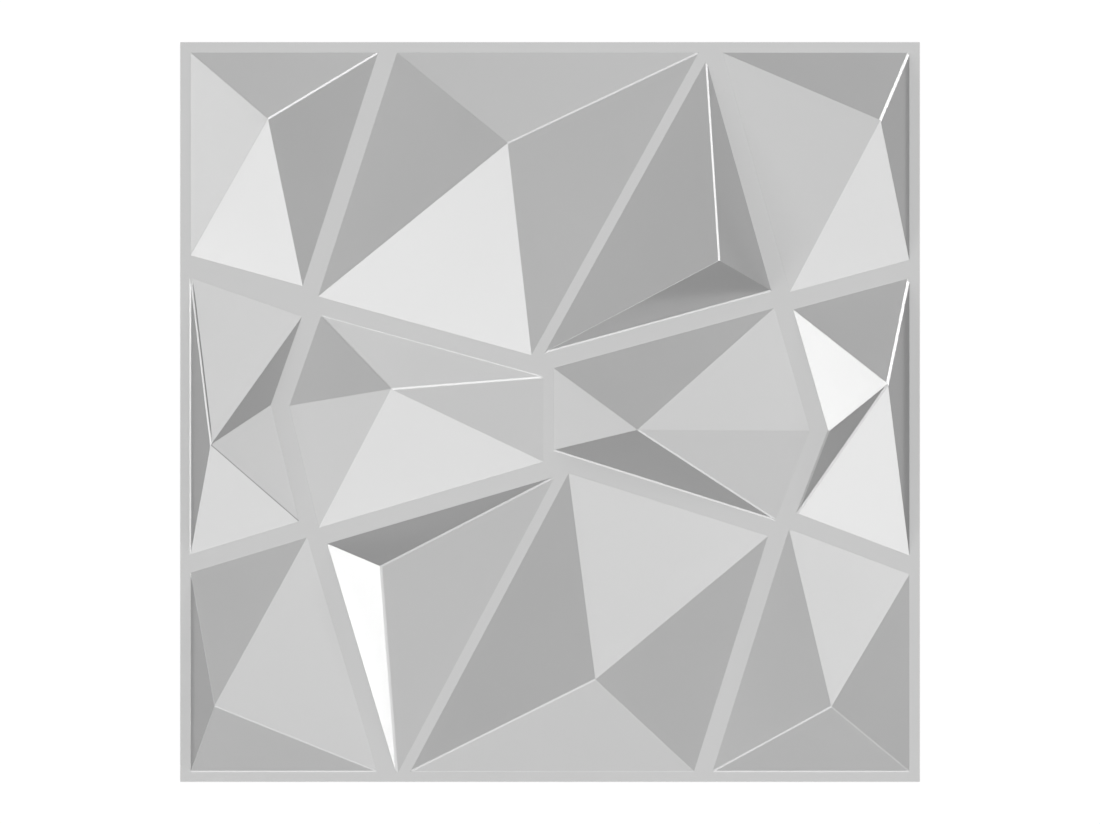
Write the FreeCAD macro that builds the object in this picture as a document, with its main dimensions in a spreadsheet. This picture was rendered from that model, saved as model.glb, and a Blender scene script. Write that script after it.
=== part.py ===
"""One square 3-D wall panel tile, formed in one piece from plastic sheet.

The tile lies on its back with the relief up (+Z).  The origin is in the middle of its back,
+X runs to the right and +Y to the top of the tile as it hangs on a wall.  Sizes are in millimetres.
Twelve off-centre pyramids stand between flat straps and are hollow behind.
"""
import FreeCAD, Part
import Sketcher
import math
import os

os.makedirs("parts", exist_ok=True)
doc = FreeCAD.newDocument("wall_panel_tile")

# The sizes.  Names that end in from_left, from_right, from_top or from_bottom are measured in from
# that edge of the tile; names that end in x or y are measured from the middle of the tile.
SIZES = {
    # the sheet, the relief and the flat bands
    "panel_side": 500.0,
    "sheet_thickness": 1.0,
    "low_peak_height": 24.0,
    "tall_peak_height": 30.0,
    "rim_width": 7.0,
    "strap_width": 12.0,
    "narrow_strap_width": 7.0,
    "flared_strap_outer": 14.0,
    "flared_strap_inner": 20.0,
    # where the middle lines of the straps reach the edges
    "top_left_x": -107.5,
    "top_right_x": 108.5,
    "bottom_left_x": -108.5,
    "bottom_fork_x": -102.0,
    "bottom_right_x": 101.5,
    "left_upper_y": 100.5,
    "left_lower_y": -104.5,
    "right_upper_y": 98.5,
    "right_lower_y": -106.0,
    # where the middle lines of the straps meet or bend
    "upper_left_from_left": 85.5,
    "upper_left_step_from_left": 92.0,
    "upper_left_y": 74.0,
    "upper_middle_x": -12.0,
    "upper_middle_y": 32.0,
    "upper_right_from_right": 93.0,
    "upper_right_y": 78.0,
    "upper_right_step_y": 73.5,
    "left_bend_from_left": 67.5,
    "left_bend_y": 4.5,
    "spine_x": -1.0,
    "right_bend_from_right": 68.0,
    "right_bend_y": -13.0,
    "lower_left_from_left": 92.0,
    "lower_left_y": -85.0,
    "lower_left_step_from_left": 87.5,
    "lower_left_step_y": -78.0,
    "lower_middle_x": 12.0,
    "lower_middle_y": -35.0,
    "lower_right_from_right": 95.0,
    "lower_right_y": -80.0,
    "lower_right_step_from_right": 90.5,
    "lower_right_step_y": -72.0,
    # the peaks of the top row, from left to right
    "peak_top_first_from_left": 60.0,
    "peak_top_first_from_top": 52.5,
    "peak_top_second_x": -28.5,
    "peak_top_second_from_top": 69.0,
    "peak_top_third_x": 114.0,
    "peak_top_third_y": 102.0,
    "peak_top_fourth_from_right": 27.5,
    "peak_top_fourth_from_top": 53.5,
    # the peaks of the middle row
    "peak_middle_first_from_left": 21.5,
    "peak_middle_first_y": -22.0,
    "peak_middle_second_x": -107.0,
    "peak_middle_second_y": 15.5,
    "peak_middle_third_x": 59.0,
    "peak_middle_third_y": -12.0,
    "peak_middle_fourth_from_right": 22.5,
    "peak_middle_fourth_y": 19.0,
    # the peaks of the bottom row
    "peak_bottom_first_from_left": 24.0,
    "peak_bottom_first_from_bottom": 52.0,
    "peak_bottom_second_x": -114.0,
    "peak_bottom_second_y": -104.0,
    "peak_bottom_third_x": 30.5,
    "peak_bottom_third_from_bottom": 70.0,
    "peak_bottom_fourth_from_right": 60.5,
    "peak_bottom_fourth_from_bottom": 51.5,
}
sheet = doc.addObject("Spreadsheet::Sheet", "dims")
for row, (name, value) in enumerate(SIZES.items(), start=1):
    sheet.set(f"A{row}", name)
    sheet.set(f"B{row}", str(value))
    sheet.setAlias(f"B{row}", name)
doc.recompute()

# The places that the straps and the rim run between, each by its across and its up position.
PLACES = {
    "corner_top_left": ("left_edge", "top_edge"),
    "corner_top_right": ("right_edge", "top_edge"),
    "corner_bottom_left": ("left_edge", "bottom_edge"),
    "corner_bottom_right": ("right_edge", "bottom_edge"),
    "top_left": ("top_left_x", "top_edge"),
    "top_right": ("top_right_x", "top_edge"),
    "bottom_left": ("bottom_left_x", "bottom_edge"),
    "bottom_fork": ("bottom_fork_x", "bottom_edge"),
    "bottom_right": ("bottom_right_x", "bottom_edge"),
    "left_upper": ("left_edge", "left_upper_y"),
    "left_lower": ("left_edge", "left_lower_y"),
    "right_upper": ("right_edge", "right_upper_y"),
    "right_lower": ("right_edge", "right_lower_y"),
    "upper_left": ("upper_left_from_left", "upper_left_y"),
    "upper_left_step": ("upper_left_step_from_left", "upper_left_y"),
    "upper_middle": ("upper_middle_x", "upper_middle_y"),
    "upper_right": ("upper_right_from_right", "upper_right_y"),
    "upper_right_step": ("upper_right_from_right", "upper_right_step_y"),
    "left_bend": ("left_bend_from_left", "left_bend_y"),
    "spine_upper": ("spine_x", "upper_middle_y"),
    "spine_lower": ("spine_x", "lower_middle_y"),
    "right_bend": ("right_bend_from_right", "right_bend_y"),
    "lower_left": ("lower_left_from_left", "lower_left_y"),
    "lower_left_step": ("lower_left_step_from_left", "lower_left_step_y"),
    "lower_middle": ("lower_middle_x", "lower_middle_y"),
    "lower_right": ("lower_right_from_right", "lower_right_y"),
    "lower_right_step": ("lower_right_step_from_right", "lower_right_step_y"),
}

# How far a pyramid keeps from the line between two places: at the first place and at the second.
BANDS = {
    "rim": ("dims.rim_width", "dims.rim_width"),
    "strap": ("dims.strap_width / 2", "dims.strap_width / 2"),
    "narrow": ("dims.narrow_strap_width / 2", "dims.narrow_strap_width / 2"),
    "flared": ("dims.flared_strap_outer / 2", "dims.flared_strap_inner / 2"),
}

# The pyramids: the peak's place and height over the back, then the bands around the foot in order.
PYRAMIDS = {
    "top_first": (
        ("peak_top_first_from_left", "peak_top_first_from_top", "low_peak_height"),
        [
            ("corner_top_left", "corner_top_right", "rim"),
            ("top_left", "upper_left", "strap"),
            ("left_upper", "upper_left", "flared"),
            ("corner_bottom_left", "corner_top_left", "rim"),
        ],
    ),
    "top_second": (
        ("peak_top_second_x", "peak_top_second_from_top", "tall_peak_height"),
        [
            ("corner_top_left", "corner_top_right", "rim"),
            ("top_right", "upper_middle", "narrow"),
            ("upper_left", "upper_middle", "strap"),
            ("top_left", "upper_left", "strap"),
        ],
    ),
    "top_third": (
        ("peak_top_third_x", "peak_top_third_y", "tall_peak_height"),
        [
            ("top_right", "upper_right", "strap"),
            ("upper_middle", "upper_right", "strap"),
            ("top_right", "upper_middle", "narrow"),
        ],
    ),
    "top_fourth": (
        ("peak_top_fourth_from_right", "peak_top_fourth_from_top", "tall_peak_height"),
        [
            ("corner_top_left", "corner_top_right", "rim"),
            ("corner_top_right", "corner_bottom_right", "rim"),
            ("upper_right_step", "right_upper", "strap"),
            ("top_right", "upper_right", "strap"),
        ],
    ),
    "middle_first": (
        ("peak_middle_first_from_left", "peak_middle_first_y", "low_peak_height"),
        [
            ("left_upper", "upper_left", "flared"),
            ("upper_left_step", "left_bend", "strap"),
            ("left_bend", "lower_left_step", "strap"),
            ("left_lower", "lower_left_step", "strap"),
            ("corner_bottom_left", "corner_top_left", "rim"),
        ],
    ),
    "middle_second": (
        ("peak_middle_second_x", "peak_middle_second_y", "low_peak_height"),
        [
            ("upper_left", "upper_middle", "strap"),
            ("spine_upper", "spine_lower", "narrow"),
            ("lower_left", "lower_middle", "strap"),
            ("left_bend", "lower_left_step", "strap"),
            ("upper_left_step", "left_bend", "strap"),
        ],
    ),
    "middle_third": (
        ("peak_middle_third_x", "peak_middle_third_y", "low_peak_height"),
        [
            ("upper_middle", "upper_right", "strap"),
            ("upper_right_step", "right_bend", "strap"),
            ("right_bend", "lower_right_step", "strap"),
            ("lower_middle", "lower_right", "strap"),
            ("spine_upper", "spine_lower", "narrow"),
        ],
    ),
    "middle_fourth": (
        ("peak_middle_fourth_from_right", "peak_middle_fourth_y", "tall_peak_height"),
        [
            ("upper_right_step", "right_upper", "strap"),
            ("corner_top_right", "corner_bottom_right", "rim"),
            ("lower_right_step", "right_lower", "strap"),
            ("right_bend", "lower_right_step", "strap"),
            ("upper_right_step", "right_bend", "strap"),
        ],
    ),
    "bottom_first": (
        ("peak_bottom_first_from_left", "peak_bottom_first_from_bottom", "low_peak_height"),
        [
            ("left_lower", "lower_left_step", "strap"),
            ("lower_left", "bottom_left", "strap"),
            ("corner_bottom_left", "corner_bottom_right", "rim"),
            ("corner_bottom_left", "corner_top_left", "rim"),
        ],
    ),
    "bottom_second": (
        ("peak_bottom_second_x", "peak_bottom_second_y", "low_peak_height"),
        [
            ("lower_left", "lower_middle", "strap"),
            ("lower_middle", "bottom_fork", "narrow"),
            ("lower_left", "bottom_left", "strap"),
        ],
    ),
    "bottom_third": (
        ("peak_bottom_third_x", "peak_bottom_third_from_bottom", "tall_peak_height"),
        [
            ("lower_middle", "lower_right", "strap"),
            ("lower_right", "bottom_right", "strap"),
            ("corner_bottom_left", "corner_bottom_right", "rim"),
            ("lower_middle", "bottom_fork", "narrow"),
        ],
    ),
    "bottom_fourth": (
        ("peak_bottom_fourth_from_right", "peak_bottom_fourth_from_bottom", "low_peak_height"),
        [
            ("lower_right_step", "right_lower", "strap"),
            ("corner_top_right", "corner_bottom_right", "rim"),
            ("corner_bottom_left", "corner_bottom_right", "rim"),
            ("lower_right", "bottom_right", "strap"),
        ],
    ),
}


def position(name):
    """The expression for a position, measured from the middle of the tile."""
    if name in ("left_edge", "bottom_edge"):
        return "-dims.panel_side / 2"
    if name in ("right_edge", "top_edge"):
        return "dims.panel_side / 2"
    if name.endswith(("from_left", "from_bottom")):
        return f"dims.{name} - dims.panel_side / 2"
    if name.endswith(("from_right", "from_top")):
        return f"dims.panel_side / 2 - dims.{name}"
    return f"dims.{name}"


def millimetres(expression):
    return float(sheet.evalExpression(expression))


def spot(place):
    return tuple(millimetres(position(name)) for name in place)


def foot_line(side, peak):
    """Two points on a side of a pyramid's foot, on the peak's side of its band."""
    start = spot(PLACES[side[0]])
    end = spot(PLACES[side[1]])
    length = math.dist(start, end)
    normal = ((start[1] - end[1]) / length, (end[0] - start[0]) / length)
    if (peak[0] - start[0]) * normal[0] + (peak[1] - start[1]) * normal[1] < 0:
        normal = (-normal[0], -normal[1])
    near, far = (millimetres(gap) for gap in BANDS[side[2]])
    return (
        (start[0] + near * normal[0], start[1] + near * normal[1]),
        (end[0] + far * normal[0], end[1] + far * normal[1]),
    )


def crossing(first, second):
    """The point where two lines cross."""
    (ax, ay), (bx, by) = first
    (cx, cy), (dx, dy) = second
    turn = (bx - ax) * (dy - cy) - (by - ay) * (dx - cx)
    share = ((cx - ax) * (dy - cy) - (cy - ay) * (dx - cx)) / turn
    return FreeCAD.Vector(ax + share * (bx - ax), ay + share * (by - ay), 0)


def pyramid(label, top, sides):
    """A solid pyramid on the back plane: a bound outline drawn up to its peak."""
    across, up, height = top
    peak = spot((across, up))
    lines = [foot_line(side, peak) for side in sides]
    corners = [crossing(lines[i - 1], lines[i]) for i in range(len(lines))]

    outline = doc.addObject("Sketcher::SketchObject", f"{label}_outline")
    for i, corner in enumerate(corners):
        outline.addGeometry(Part.LineSegment(corner, corners[(i + 1) % len(corners)]), False)
    for i in range(len(corners)):
        outline.addConstraint(Sketcher.Constraint("Coincident", i, 2, (i + 1) % len(corners), 1))
    for i, side in enumerate(sides):
        for place, gap in zip(side[:2], BANDS[side[2]]):
            x, y = spot(PLACES[place])
            point = outline.addGeometry(Part.Point(FreeCAD.Vector(x, y, 0)), True)
            held = outline.addConstraint(Sketcher.Constraint("DistanceX", -1, 1, point, 1, x))
            outline.setExpression(f"Constraints[{held}]", position(PLACES[place][0]))
            held = outline.addConstraint(Sketcher.Constraint("DistanceY", -1, 1, point, 1, y))
            outline.setExpression(f"Constraints[{held}]", position(PLACES[place][1]))
            held = outline.addConstraint(
                Sketcher.Constraint("Distance", point, 1, i, millimetres(gap))
            )
            outline.setExpression(f"Constraints[{held}]", gap)

    tip = doc.addObject("Part::Vertex", f"{label}_peak")
    tip.setExpression("X", position(across))
    tip.setExpression("Y", position(up))
    tip.setExpression("Z", f"dims.{height} - dims.sheet_thickness")

    solid = doc.addObject("Part::Loft", f"{label}_pyramid")
    solid.Sections = [outline, tip]
    solid.Solid = True
    solid.Ruled = True
    return solid


# The space behind the relief: twelve pyramids that stand on the back plane.
hollows = doc.addObject("Part::Compound", "hollows")
hollows.Links = [pyramid(label, top, sides) for label, (top, sides) in PYRAMIDS.items()]

# The relief in front is the same shape, one sheet thickness higher.
relief = doc.addObject("App::Link", "relief")
relief.LinkedObject = hollows
relief.setExpression("Placement.Base.z", "dims.sheet_thickness")

# The flat sheet, centred on the origin.
flat = doc.addObject("Part::Box", "flat_sheet")
flat.setExpression("Length", "dims.panel_side")
flat.setExpression("Width", "dims.panel_side")
flat.setExpression("Height", "dims.sheet_thickness")
flat.setExpression("Placement.Base.x", "-dims.panel_side / 2")
flat.setExpression("Placement.Base.y", "-dims.panel_side / 2")

front = doc.addObject("Part::MultiFuse", "front")
front.Shapes = [flat, relief]

panel = doc.addObject("Part::Cut", "wall_panel")
panel.Base = front
panel.Tool = hollows
panel.Label = "wall_panel"
doc.recompute()

# Every object is sound, and forming the relief has kept the sheet's volume.
for item in doc.Objects:
    if "Invalid" in item.State or "Error" in item.State:
        raise RuntimeError(f"{item.Label} did not build")
    shape = getattr(item, "Shape", None)
    if shape is not None and (shape.isNull() or not shape.isValid()):
        raise RuntimeError(f"{item.Label} is not a valid shape")
if len(panel.Shape.Solids) != 1:
    raise RuntimeError("the panel is not one solid")
sheet_volume = millimetres("dims.panel_side * dims.panel_side * dims.sheet_thickness")
if abs(panel.Shape.Volume - sheet_volume) > 0.001 * sheet_volume:
    raise RuntimeError("the panel has lost or gained material")

panel.Shape.exportStep(f"parts/{panel.Label}.step")
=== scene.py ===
import math

import bmesh
import bpy
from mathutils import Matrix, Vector


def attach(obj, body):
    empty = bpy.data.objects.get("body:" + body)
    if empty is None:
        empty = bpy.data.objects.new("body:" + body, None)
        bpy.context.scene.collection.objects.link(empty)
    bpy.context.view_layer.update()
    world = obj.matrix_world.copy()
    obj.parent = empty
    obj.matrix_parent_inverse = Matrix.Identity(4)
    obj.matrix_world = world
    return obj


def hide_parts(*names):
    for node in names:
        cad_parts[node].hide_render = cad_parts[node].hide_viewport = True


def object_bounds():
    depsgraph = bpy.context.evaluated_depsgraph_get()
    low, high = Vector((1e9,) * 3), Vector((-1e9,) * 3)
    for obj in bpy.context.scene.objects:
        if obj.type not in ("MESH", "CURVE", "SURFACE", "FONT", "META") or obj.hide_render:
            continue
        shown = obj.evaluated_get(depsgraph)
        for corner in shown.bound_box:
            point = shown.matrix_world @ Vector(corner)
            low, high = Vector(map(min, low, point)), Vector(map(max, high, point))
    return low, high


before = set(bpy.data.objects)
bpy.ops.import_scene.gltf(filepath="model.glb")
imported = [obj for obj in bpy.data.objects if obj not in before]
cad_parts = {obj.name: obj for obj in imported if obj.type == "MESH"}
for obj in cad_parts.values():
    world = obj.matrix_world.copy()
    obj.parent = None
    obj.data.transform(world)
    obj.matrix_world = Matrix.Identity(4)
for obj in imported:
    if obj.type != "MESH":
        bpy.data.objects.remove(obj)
cad_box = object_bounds()
scene = bpy.context.scene
scene.view_settings.view_transform = "Standard"

# The camera.
# It looks straight down on the face of the panel as it lies, through a long lens from far off, so
# that the panel takes up two thirds of the picture's width.
SIDE = cad_box[1][0] - cad_box[0][0]
STRAP_FACE = 0.001
PANEL_SHARE = 739.5 / 1100
lens = bpy.data.cameras.new("camera")
lens.lens = 300.0
lens.sensor_width = 36.0
camera = bpy.data.objects.new("camera", lens)
camera.location.z = STRAP_FACE + lens.lens / lens.sensor_width * SIDE / PANEL_SHARE
scene.collection.objects.link(camera)
scene.camera = camera

# The floor.
# A wide sheet of plain white studio paper, a hair below the panel's back.
# It looks white to the eye and in the panel's gloss, and takes the panel's shadow.
FLOOR_HALF = 15
FLOOR_DROP = 0.0003
FLOOR_WHITE = 0.75
floor_mesh = bpy.data.meshes.new("floor")
shape = bmesh.new()
bmesh.ops.create_grid(shape, x_segments=1, y_segments=1, size=FLOOR_HALF)
shape.to_mesh(floor_mesh)
shape.free()
floor = bpy.data.objects.new("floor", floor_mesh)
floor.location.z = -FLOOR_DROP
scene.collection.objects.link(floor)

paper = bpy.data.materials.new("floor_paper")
paper.use_nodes = True
nodes = paper.node_tree.nodes
links = paper.node_tree.links
nodes.clear()
output = nodes.new("ShaderNodeOutputMaterial")
both = nodes.new("ShaderNodeAddShader")
matt = nodes.new("ShaderNodeBsdfDiffuse")
matt.inputs["Color"].default_value = (0.3, 0.3, 0.3, 1)
glow = nodes.new("ShaderNodeEmission")
path = nodes.new("ShaderNodeLightPath")
seen = nodes.new("ShaderNodeMath")
seen.operation = "MAXIMUM"
seen_through = nodes.new("ShaderNodeMath")
seen_through.operation = "MAXIMUM"
level = nodes.new("ShaderNodeMath")
level.operation = "MULTIPLY"
level.inputs[1].default_value = FLOOR_WHITE
links.new(path.outputs["Is Camera Ray"], seen.inputs[0])
links.new(path.outputs["Is Glossy Ray"], seen.inputs[1])
links.new(seen.outputs[0], seen_through.inputs[0])
links.new(path.outputs["Is Transmission Ray"], seen_through.inputs[1])
links.new(seen_through.outputs[0], level.inputs[0])
links.new(level.outputs[0], glow.inputs["Strength"])
links.new(matt.outputs[0], both.inputs[0])
links.new(glow.outputs[0], both.inputs[1])
links.new(both.outputs[0], output.inputs["Surface"])
floor_mesh.materials.append(paper)

# The studio light.
# Lamps far off, large soft ones and a few small ones for the ridges: each by its angle from straight
# above, its bearing from +X towards +Y and how wide it is, in degrees, and its strength.
LAMP_DISTANCE = 3
LAMPS = {
    "lower": (37.9, 270.9, 36.7, 0.452),
    "left": (46, 189.1, 30.2, 0.274),
    "upper_right": (47.9, 56.5, 59, 0.815),
    "upper": (34, 74.9, 5.4, 0.038),
    "overhead": (11.6, 323, 56.8, 0.361),
    "left_low": (69.1, 197.6, 14, 0.465),
    "right": (50.4, 9.1, 10.3, 0.081),
    "upper_right_key": (35.2, 51.4, 12.9, 0.181),
    "overhead_left": (8.8, 258.4, 62.9, 0.317),
    "right_low": (67.3, 30.8, 8, 0.35),
    "left_edge": (58.8, 172.7, 11.9, 0.304),
    "lower_edge": (47.4, 284.6, 6.3, 0.046),
    "lower_left": (29.3, 231.9, 22, 0.17),
    "upper_low": (66.1, 78.6, 9.9, 0.038),
    "right_high": (29, 18, 8, 0.018),
    "lower_spot": (39.5, 262, 12, 0.05),
    "lower_right": (37.1, 310.7, 8, 0.028),
}
for name, (tilt, bearing, width, strength) in LAMPS.items():
    lamp = bpy.data.lights.new(name, "SUN")
    lamp.energy = strength
    lamp.angle = math.radians(width)
    tilt = math.radians(tilt)
    bearing = math.radians(bearing)
    aside = math.sin(tilt)
    way = Vector((aside * math.cos(bearing), aside * math.sin(bearing), math.cos(tilt)))
    bulb = bpy.data.objects.new(name, lamp)
    bulb.rotation_euler = way.to_track_quat("Z", "Y").to_euler()
    bulb.location = way * LAMP_DISTANCE
    scene.collection.objects.link(bulb)

world = bpy.data.worlds.new("studio")
world.use_nodes = True
sky = world.node_tree.nodes["Background"]
sky.inputs["Color"].default_value = (1, 1, 1, 1)
sky.inputs["Strength"].default_value = 0.12
scene.world = world

# The panel.
# One sheet of silver-grey satin PVC, vacuum formed: a flat rim, flat straps and twelve pyramids with
# crisp ridges.  It is glued to the wall by its flat back.
panel_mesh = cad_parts["wall_panel"].data.copy()
panel_mesh.name = "formed_panel"
panel_mesh.materials.clear()
FLAT = math.radians(0.5)
shape = bmesh.new()
shape.from_mesh(panel_mesh)
bmesh.ops.remove_doubles(shape, verts=shape.verts, dist=1e-5)
bmesh.ops.dissolve_limit(shape, angle_limit=FLAT, verts=shape.verts, edges=shape.edges)

# Along these ridges and feet the mould leaves a flat land: the middle of each (x, y) and its width,
# in millimetres.  Every other fold is only eased, and the cut edge of the sheet is left sharp.
MM = 0.001
LANDS = [
    (-153.0, 220.2, 1.3), (36.1, 212.0, 1.25), (109.9, 169.9, 1.4), (232.8, 219.8, 2.15),
    (-235.8, 34.3, 1.9), (-199.1, -48.0, 0.65), (-55.8, 19.6, 1.4), (-130.9, 40.3, 1.0),
    (106.1, -42.6, 1.3), (235.2, 54.7, 2.15), (197.6, -24.7, 1.6), (178.0, -40.9, 1.5),
    (-171.4, -220.5, 1.0), (-55.3, -73.9, 1.4), (-108.8, -174.8, 1.7), (-31.9, -211.5, 1.25),
    (216.2, -220.8, 1.0), (149.7, -220.8, 1.2),
    (73.2, 61.4, 1.4), (-243.0, -2.7, 1.4), (-79.6, 44.4, 0.8), (77.8, -49.4, 1.3),
    (-179.9, -243.0, 0.95), (176.5, -243.0, 0.95),
]
LAND_SEARCH = 4 * MM
FULL_EASE = 2 * MM
FOLD_EASE = 0.12 * MM
LEAST_FOLD = math.radians(3)
CUT_EDGE = SIDE / 2 - 0.1 * MM
ease = shape.edges.layers.float.new("bevel_weight_edge")
for edge in shape.edges:
    fold = edge.calc_face_angle()
    on_cut = all(max(abs(v.co.x), abs(v.co.y)) > CUT_EDGE for v in edge.verts)
    if fold > LEAST_FOLD and not on_cut:
        middle = (edge.verts[0].co + edge.verts[1].co).xy / 2
        edge[ease] = FOLD_EASE / FULL_EASE
        for x, y, width in LANDS:
            if (middle - Vector((x, y)) * MM).length < LAND_SEARCH:
                edge[ease] = width * MM / 2 / math.cos(fold / 2) / FULL_EASE
shape.to_mesh(panel_mesh)
shape.free()
panel = bpy.data.objects.new("formed_panel", panel_mesh)
scene.collection.objects.link(panel)
lands = panel.modifiers.new("lands", "BEVEL")
lands.width = FULL_EASE
lands.segments = 1
lands.limit_method = "WEIGHT"
lands.use_clamp_overlap = False
with bpy.context.temp_override(object=panel):
    bpy.ops.object.modifier_apply(modifier="lands")
panel_mesh = panel.data

# How steeply each face lies sets how dark its colour is painted: painted shade that makes the steep
# walls darker.  One land and the shoulder below are painted darkest, as dark lines of painted shade.
DARKEST_PAINTED_SHADE = 0.45
PAINTED_DARK_LAND = Vector((-199.1, -48.0)) * MM
shape = bmesh.new()
shape.from_mesh(panel_mesh)
painted_shade = shape.faces.layers.float.new("painted_shade")
for face in shape.faces:
    face[painted_shade] = abs(face.normal.z)
    # One land is painted in the darkest grey, a painted dark line of shade along it.
    if (face.calc_center_median().xy - PAINTED_DARK_LAND).length < 1 * MM:
        face[painted_shade] = DARKEST_PAINTED_SHADE

# Beside the land of the far left ridge, on the side of the large facet, the mould is eased once more
# in a shoulder that runs out at both ends.
SHOULDER = Vector((-234.8, 35.8)) * MM
SHOULDER_HALF = 0.5 * MM
RUN_OUT = 0.1
for edge in list(shape.edges):
    first, last = edge.verts
    start, end = first.co.copy(), last.co.copy()
    if ((start + end).xy / 2 - SHOULDER).length < 1 * MM:
        land, facet = sorted(edge.link_faces, key=lambda face: face.calc_area())
        along = (end - start).normalized()
        steps = []
        for face in (land, facet):
            way = face.calc_center_median() - start
            steps.append((way - way.dot(along) * along).normalized() * SHOULDER_HALF)
        into_land, into_facet = steps
        near = start.lerp(end, RUN_OUT)
        far = start.lerp(end, 1 - RUN_OUT)
        bmesh.utils.face_split(land, first, last, coords=[near + into_land, far + into_land])
        shoulder = next(face for face in edge.link_faces if face is not facet)
        # The shoulder is painted in the darkest grey, a painted dark line of shade beside the ridge.
        shoulder[painted_shade] = DARKEST_PAINTED_SHADE
        near_corner = bmesh.utils.edge_split(edge, first, RUN_OUT)[1]
        rest = next(part for part in near_corner.link_edges if last in part.verts)
        far_corner = bmesh.utils.edge_split(rest, last, RUN_OUT)[1]
        near_corner.co = near + into_facet
        far_corner.co = far + into_facet
shape.normal_update()
shape.to_mesh(panel_mesh)
shape.free()

panel_mesh.shade_smooth()
soft = panel.modifiers.new("soft_edges", "BEVEL")
soft.width = 0.05 * MM
soft.segments = 2
soft.limit_method = "ANGLE"
soft.angle_limit = math.radians(2.5)
flat = panel.modifiers.new("flat_facets", "WEIGHTED_NORMAL")
flat.mode = "FACE_AREA"
flat.weight = 100

plastic = bpy.data.materials.new("satin_pvc")
plastic.use_nodes = True
nodes = plastic.node_tree.nodes
links = plastic.node_tree.links
skin = nodes["Principled BSDF"]
skin.inputs["Metallic"].default_value = 0.25
place = nodes.new("ShaderNodeTexCoord")

# Painted shade: the base colour goes from mid grey on faces that lie flat to a darker grey on the
# steep walls, and is darkest on the one land and the shoulder.
wall = nodes.new("ShaderNodeAttribute")
wall.attribute_name = "painted_shade"
shade_range = nodes.new("ShaderNodeMapRange")
shade_range.inputs["From Min"].default_value = DARKEST_PAINTED_SHADE
shade_range.inputs["From Max"].default_value = 1.0
grey = nodes.new("ShaderNodeMix")
grey.data_type = "RGBA"
grey.inputs["A"].default_value = (0.33, 0.33, 0.33, 1)
grey.inputs["B"].default_value = (0.56, 0.56, 0.56, 1)
links.new(wall.outputs["Fac"], shade_range.inputs["Value"])
links.new(shade_range.outputs["Result"], grey.inputs["Factor"])

# A faint unevenness of the pigment and of the satin, in patches a hand wide.
patches = nodes.new("ShaderNodeTexNoise")
patches.inputs["Scale"].default_value = 11.0
patches.inputs["Detail"].default_value = 4.0
uneven = nodes.new("ShaderNodeMix")
uneven.data_type = "RGBA"
uneven.blend_type = "SOFT_LIGHT"
uneven.inputs["Factor"].default_value = 0.04
sheen = nodes.new("ShaderNodeMapRange")
sheen.inputs["From Min"].default_value = 0.3
sheen.inputs["From Max"].default_value = 0.7
sheen.inputs["To Min"].default_value = 0.205
sheen.inputs["To Max"].default_value = 0.235
links.new(place.outputs["Object"], patches.inputs["Vector"])
links.new(grey.outputs["Result"], uneven.inputs["A"])
links.new(patches.outputs["Fac"], uneven.inputs["B"])
links.new(uneven.outputs["Result"], skin.inputs["Base Color"])
links.new(patches.outputs["Fac"], sheen.inputs["Value"])
links.new(sheen.outputs["Result"], skin.inputs["Roughness"])

# The fine grain that the mould leaves on the skin.
grain = nodes.new("ShaderNodeTexNoise")
grain.inputs["Scale"].default_value = 2600.0
grain.inputs["Detail"].default_value = 2.0
dents = nodes.new("ShaderNodeBump")
dents.inputs["Strength"].default_value = 0.15
dents.inputs["Distance"].default_value = 0.02 * MM
links.new(place.outputs["Object"], grain.inputs["Vector"])
links.new(grain.outputs["Fac"], dents.inputs["Height"])
links.new(dents.outputs["Normal"], skin.inputs["Normal"])
panel_mesh.materials.append(plastic)

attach(panel, "root")
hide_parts("wall_panel")
